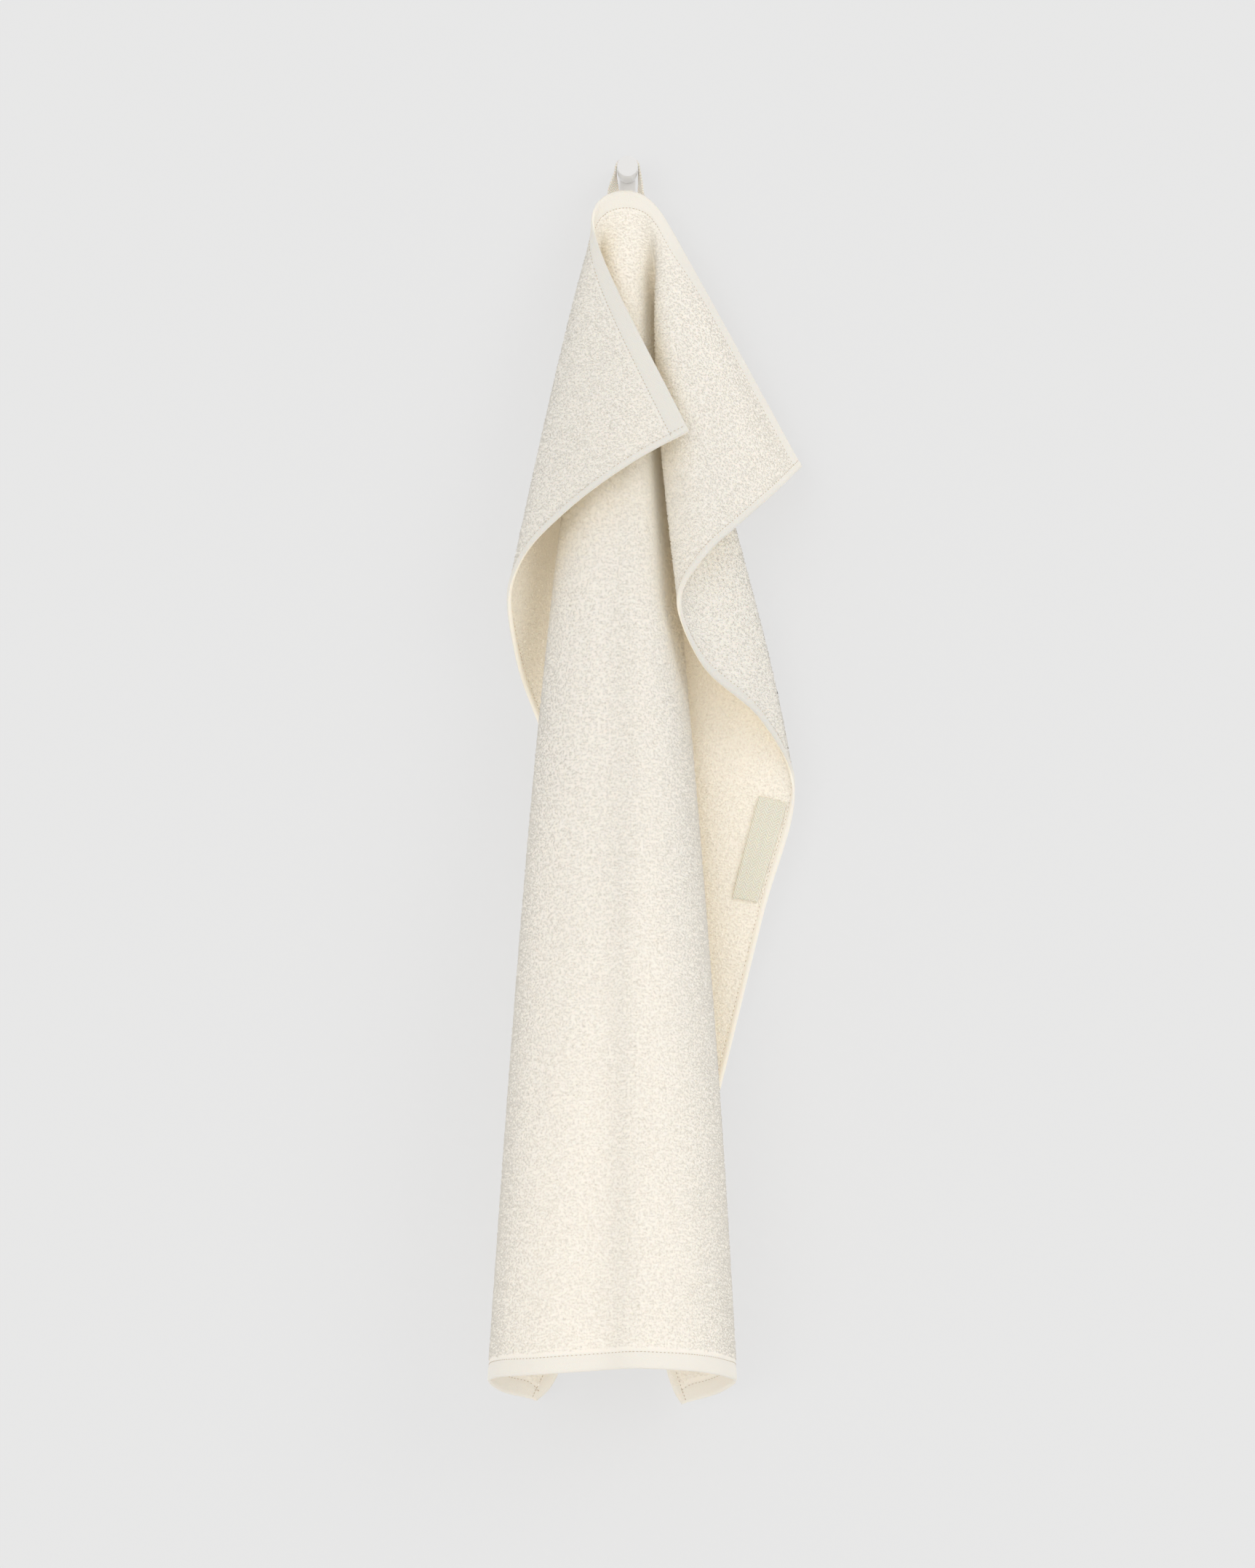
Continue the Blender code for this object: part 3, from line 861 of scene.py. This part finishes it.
def yarn_group():
    """Crossing fine threads with uneven fibres: Height from nought to about one."""
    group, start, end = new_group(
        "Fine yarns",
        (("Vector", "NodeSocketVector", None), ("Thread spacing", "NodeSocketFloat", 0.0008)),
        (("Height", "NodeSocketFloat"),))
    split = group.nodes.new("ShaderNodeSeparateXYZ")
    group.links.new(start.outputs["Vector"], split.inputs[0])
    waves = []
    for axis in ("X", "Y"):
        turns = math_node(group, "DIVIDE", split.outputs[axis], start.outputs["Thread spacing"])
        waves.append(math_node(group, "SINE", math_node(group, "MULTIPLY", turns, 2 * math.pi)))
    fibres = group.nodes.new("ShaderNodeTexNoise")
    fibres.inputs["Scale"].default_value = 900.0
    fibres.inputs["Detail"].default_value = 3.0
    group.links.new(start.outputs["Vector"], fibres.inputs["Vector"])
    both = math_node(group, "MULTIPLY", waves[0], waves[1])
    ribs = math_node(group, "MULTIPLY_ADD", both, 0.3, 0.35)
    group.links.new(math_node(group, "ADD", ribs, fibres.outputs[0]), end.inputs["Height"])
    return group


def mottle_group():
    """Uneven cloth colour: a base colour that drifts towards a second one in soft patches."""
    group, start, end = new_group(
        "Cotton mottle",
        (("Vector", "NodeSocketVector", None), ("Colour", "NodeSocketColor", None),
         ("Patch colour", "NodeSocketColor", None), ("Patch size", "NodeSocketFloat", 40.0)),
        (("Colour", "NodeSocketColor"),))
    patches = group.nodes.new("ShaderNodeTexNoise")
    patches.inputs["Detail"].default_value = 4.0
    group.links.new(start.outputs["Vector"], patches.inputs["Vector"])
    group.links.new(start.outputs["Patch size"], patches.inputs["Scale"])
    mix = group.nodes.new("ShaderNodeMix")
    mix.data_type = "RGBA"
    group.links.new(patches.outputs[0], mix.inputs["Factor"])
    group.links.new(start.outputs["Colour"], mix.inputs["A"])
    group.links.new(start.outputs["Patch colour"], mix.inputs["B"])
    group.links.new(mix.outputs["Result"], end.inputs["Colour"])
    return group


HERRINGBONE = herringbone_group()
YARNS = yarn_group()
MOTTLE = mottle_group()


# Materials

def new_material(name, roughness, sheen=0.0, see_through=0.0):
    """A matt material; see_through is the share of light that soaks into the cotton."""
    material = bpy.data.materials.new(name)
    material.use_nodes = True
    shader = material.node_tree.nodes["Principled BSDF"]
    shader.inputs["Roughness"].default_value = roughness
    shader.inputs["Specular IOR Level"].default_value = 0.2
    shader.inputs["Sheen Weight"].default_value = sheen
    shader.inputs["Sheen Roughness"].default_value = 0.5
    shader.inputs["Sheen Tint"].default_value = FUZZ_COLOUR
    shader.inputs["Subsurface Weight"].default_value = see_through
    shader.inputs["Subsurface Radius"].default_value = COTTON_SOAK
    shader.inputs["Subsurface Scale"].default_value = COTTON_SOAK_DEPTH * MM
    return material, material.node_tree, shader


def place_group(tree, group, **values):
    node = tree.nodes.new("ShaderNodeGroup")
    node.node_tree = group
    for name, value in values.items():
        socket = node.inputs[name.replace("_", " ")]
        if isinstance(value, bpy.types.NodeSocket):
            tree.links.new(value, socket)
        else:
            socket.default_value = value
    return node


def flat_place(tree):
    node = tree.nodes.new("ShaderNodeUVMap")
    node.uv_map = "Flat"
    return node.outputs["UV"]


def own_place(tree):
    return tree.nodes.new("ShaderNodeTexCoord").outputs["Object"]


def shade_value(tree, name):
    node = tree.nodes.new("ShaderNodeAttribute")
    node.attribute_name = name
    return node.outputs["Fac"]


def mix_colours(tree, share, first, second):
    """The first colour where share is nought, and the second where it is one."""
    node = tree.nodes.new("ShaderNodeMix")
    node.data_type = "RGBA"
    tree.links.new(share, node.inputs["Factor"])
    for socket, value in ((node.inputs["A"], first), (node.inputs["B"], second)):
        if isinstance(value, bpy.types.NodeSocket):
            tree.links.new(value, socket)
        else:
            socket.default_value = value
    return node.outputs["Result"]


def add_painted_glow(tree, shader):
    """Painted glow: a faint light of the cotton's own, as bright as its other side is open."""
    glow = mix_colours(tree, shade_value(tree, "painted_glow_share"), (0, 0, 0, 1), PAINTED_GLOW_COLOUR)
    tree.links.new(glow, shader.inputs["Emission Color"])
    shader.inputs["Emission Strength"].default_value = PAINTED_GLOW_STRENGTH


def add_bump(tree, shader, height, distance, strength=1.0):
    node = tree.nodes.new("ShaderNodeBump")
    node.inputs["Distance"].default_value = distance
    node.inputs["Strength"].default_value = strength
    tree.links.new(height, node.inputs["Height"])
    tree.links.new(node.outputs["Normal"], shader.inputs["Normal"])


def cloth_material():
    """Ground cloth under the pile, and the smooth woven hems, with painted fold shade and a painted
    glow.
    """
    material, tree, shader = new_material("terry ground and hems", 0.92, 0.3, 0.15)
    place = flat_place(tree)
    hem = place_group(tree, MOTTLE, Vector=place, Colour=HEM_COLOUR,
                      Patch_colour=HEM_PATCH_COLOUR, Patch_size=60.0)
    colour = mix_colours(tree, shade_value(tree, "hem"), GROUND_COLOUR, hem.outputs["Colour"])
    # Painted shade: the warm fold tone, mixed in as far as other folds stand in the cloth's way out
    colour = mix_colours(tree, shade_value(tree, "shelter"), colour, PAINTED_FOLD_SHADE)
    tree.links.new(colour, shader.inputs["Base Color"])
    add_painted_glow(tree, shader)
    yarns = place_group(tree, YARNS, Vector=place, Thread_spacing=0.0011)
    add_bump(tree, shader, yarns.outputs["Height"], 0.0003, 0.7)
    return material


def pile_material():
    """Terry loops: cream at the crest, with painted warm shade down their flanks, painted fold
    shade and a painted glow, and no two quite alike.
    """
    material, tree, shader = new_material("terry loops", 0.95, 0.6)
    place = own_place(tree)
    crest = place_group(tree, MOTTLE, Vector=place, Colour=LOOP_COLOUR,
                        Patch_colour=LOOP_PATCH_COLOUR, Patch_size=25.0).outputs["Colour"]
    crest = mix_colours(tree, shade_value(tree, "tone"), crest, LOOP_PALE_COLOUR)
    # Painted shade: the warm flank tone at the sunk corners, the crest colour at the top
    colour = mix_colours(tree, shade_value(tree, "crest"), LOOP_FLANK_PAINTED_SHADE, crest)
    # Painted shade: the warm fold tone, mixed in as far as other folds stand in the loops' way out
    colour = mix_colours(tree, shade_value(tree, "shelter"), colour, PAINTED_FOLD_SHADE)
    tree.links.new(colour, shader.inputs["Base Color"])
    add_painted_glow(tree, shader)
    yarns = place_group(tree, YARNS, Vector=place, Thread_spacing=0.0006)
    add_bump(tree, shader, yarns.outputs["Height"], 0.0003, 0.15)
    return material


def woven_material(name, colour, patch_colour, rib, column, groove_shade):
    """A herringbone tape, with painted shade darkening it down between its ribs."""
    material, tree, shader = new_material(name, 0.85, 0.1, 0.3)
    place = flat_place(tree)
    weave = place_group(tree, HERRINGBONE, Vector=place, Rib_spacing=rib, Column_width=column)
    tint = place_group(tree, MOTTLE, Vector=place, Colour=colour, Patch_colour=patch_colour,
                       Patch_size=150.0)
    # Painted shade: the darker groove tone where the weave is low, the tape's own colour on the
    # ribs
    shaded = mix_colours(tree, weave.outputs["Height"], groove_shade, tint.outputs["Colour"])
    tree.links.new(shaded, shader.inputs["Base Color"])
    # Painted glow: the tape gives off half the cotton's faint light of its own
    shader.inputs["Emission Color"].default_value = PAINTED_GLOW_COLOUR
    shader.inputs["Emission Strength"].default_value = PAINTED_GLOW_STRENGTH / 2
    yarns = place_group(tree, YARNS, Vector=place, Thread_spacing=0.0005)
    height = math_node(tree, "MULTIPLY_ADD", yarns.outputs["Height"], 0.25, weave.outputs["Height"])
    add_bump(tree, shader, height, 0.0003, 0.8)
    return material


def thread_material():
    material, tree, shader = new_material("sewing thread", 0.7, 0.1)
    # Thread colour darkened with painted shade of the stitch holes
    tint = place_group(tree, MOTTLE, Vector=own_place(tree), Colour=THREAD_AND_HOLE_SHADE_COLOUR,
                       Patch_colour=THREAD_AND_HOLE_SHADE_PATCH_COLOUR, Patch_size=300.0)
    tree.links.new(tint.outputs["Colour"], shader.inputs["Base Color"])
    return material


def coat_material():
    """Satin white coat with a faint unevenness in its gloss."""
    material, tree, shader = new_material("white hook coat", 0.35)
    shader.inputs["Specular IOR Level"].default_value = 0.5
    place = own_place(tree)
    tint = place_group(tree, MOTTLE, Vector=place, Colour=COAT_COLOUR,
                       Patch_colour=COAT_PATCH_COLOUR, Patch_size=200.0)
    tree.links.new(tint.outputs["Colour"], shader.inputs["Base Color"])
    peel = tree.nodes.new("ShaderNodeTexNoise")
    peel.inputs["Scale"].default_value = 900.0
    tree.links.new(place, peel.inputs["Vector"])
    tree.links.new(math_node(tree, "MULTIPLY_ADD", peel.outputs[0], 0.15, 0.3),
                   shader.inputs["Roughness"])
    add_bump(tree, shader, peel.outputs[0], 0.00005, 0.3)
    return material


# Object

def dress():
    """All pieces of the towel and its hook, each on its body and in place of its node."""
    hung = Drape()
    coat = coat_material()
    pile = pile_material()
    cloth = make_cloth(hung, cloth_material())
    loops = make_pile(hung, 1, "front_pile", pile) + make_pile(hung, -1, "back_pile", pile)
    stitches = make_stitches(hung, thread_material())
    label = make_label(hung, woven_material(
        "pale woven tape", (0.86, 0.845, 0.75, 1), (0.83, 0.815, 0.71, 1),
        0.0018, 0.0027, (0.72, 0.695, 0.59, 1)))
    tape = make_tape(woven_material(
        "cotton tape", (0.86, 0.83, 0.76, 1), (0.80, 0.77, 0.69, 1),
        0.0016, 0.0018, (0.68, 0.64, 0.55, 1)))
    peg = make_peg(coat)
    plate = make_plate(coat)
    for piece in (cloth, *loops, stitches, label, tape, peg, plate):
        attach(piece, "root")
    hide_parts("towel")
    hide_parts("label")
    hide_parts("hanging_loop")
    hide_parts("hook_peg")
    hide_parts("hook_plate")


# Stage, light and view

def stage_material(name, tone, glow):
    """A pale tone that shows from the front alone and casts no light or shade."""
    material = bpy.data.materials.new(name)
    material.use_nodes = True
    tree = material.node_tree
    shader = tree.nodes["Principled BSDF"]
    shader.inputs["Base Color"].default_value = (*[tone * (1 - glow)] * 3, 1)
    shader.inputs["Roughness"].default_value = 1.0
    shader.inputs["Specular IOR Level"].default_value = 0.0
    shader.inputs["Emission Color"].default_value = (1, 1, 1, 1)
    shader.inputs["Emission Strength"].default_value = tone * glow
    facing = tree.nodes.new("ShaderNodeNewGeometry").outputs["Backfacing"]
    seen = tree.nodes.new("ShaderNodeLightPath").outputs["Is Camera Ray"]
    hidden = math_node(tree, "MAXIMUM", facing, math_node(tree, "SUBTRACT", 1.0, seen))
    clear = tree.nodes.new("ShaderNodeBsdfTransparent")
    mix = tree.nodes.new("ShaderNodeMixShader")
    tree.links.new(hidden, mix.inputs[0])
    tree.links.new(shader.outputs[0], mix.inputs[1])
    tree.links.new(clear.outputs[0], mix.inputs[2])
    tree.links.new(mix.outputs[0], tree.nodes["Material Output"].inputs["Surface"])
    return material


def make_stage():
    """A wall behind the hook and a floor some way below the towel."""
    for name, half_size, place, tilt, glow in (
            ("wall", WALL_HALF_SIZE, (0, WALL_CLEARANCE * MM, 0), 90, WALL_GLOW),
            ("floor", FLOOR_HALF_SIZE, (0, 0, FLOOR_Z * MM), 0, FLOOR_GLOW)):
        bm = bmesh.new()
        bmesh.ops.create_grid(bm, x_segments=1, y_segments=1, size=half_size)
        plane = bmesh_object(name, bm, stage_material("pale " + name, WALL_TONE, glow))
        plane.location = place
        plane.rotation_euler = (math.radians(tilt), 0, 0)


def light_scene():
    world = bpy.data.worlds.new("studio")
    world.use_nodes = True
    background = world.node_tree.nodes["Background"]
    background.inputs["Color"].default_value = SKY_COLOUR
    background.inputs["Strength"].default_value = SKY_STRENGTH
    bpy.context.scene.world = world
    for name, energy, spread, colour, tilt, turn in LIGHTS:
        light = bpy.data.lights.new(name, "SUN")
        light.energy = energy
        light.angle = math.radians(spread)
        light.color = colour
        thing = bpy.data.objects.new(name, light)
        thing.rotation_euler = (math.radians(tilt), 0, math.radians(turn))
        bpy.context.scene.collection.objects.link(thing)


def add_camera():
    camera = bpy.data.cameras.new("photo view")
    camera.sensor_fit = "HORIZONTAL"
    camera.sensor_width = SENSOR_WIDTH
    focal_pixels = PIXELS_PER_MM_AT_WALL * CAMERA_AWAY
    camera.lens = SENSOR_WIDTH * focal_pixels / IMAGE_WIDTH
    thing = bpy.data.objects.new("photo view", camera)
    thing.location = (0, -CAMERA_AWAY * MM, CAMERA_Z * MM)
    thing.rotation_euler = (math.radians(90), 0, 0)
    bpy.context.scene.collection.objects.link(thing)
    bpy.context.scene.camera = thing


dress()
make_stage()
light_scene()
add_camera()
bpy.context.scene.view_settings.view_transform = "Standard"
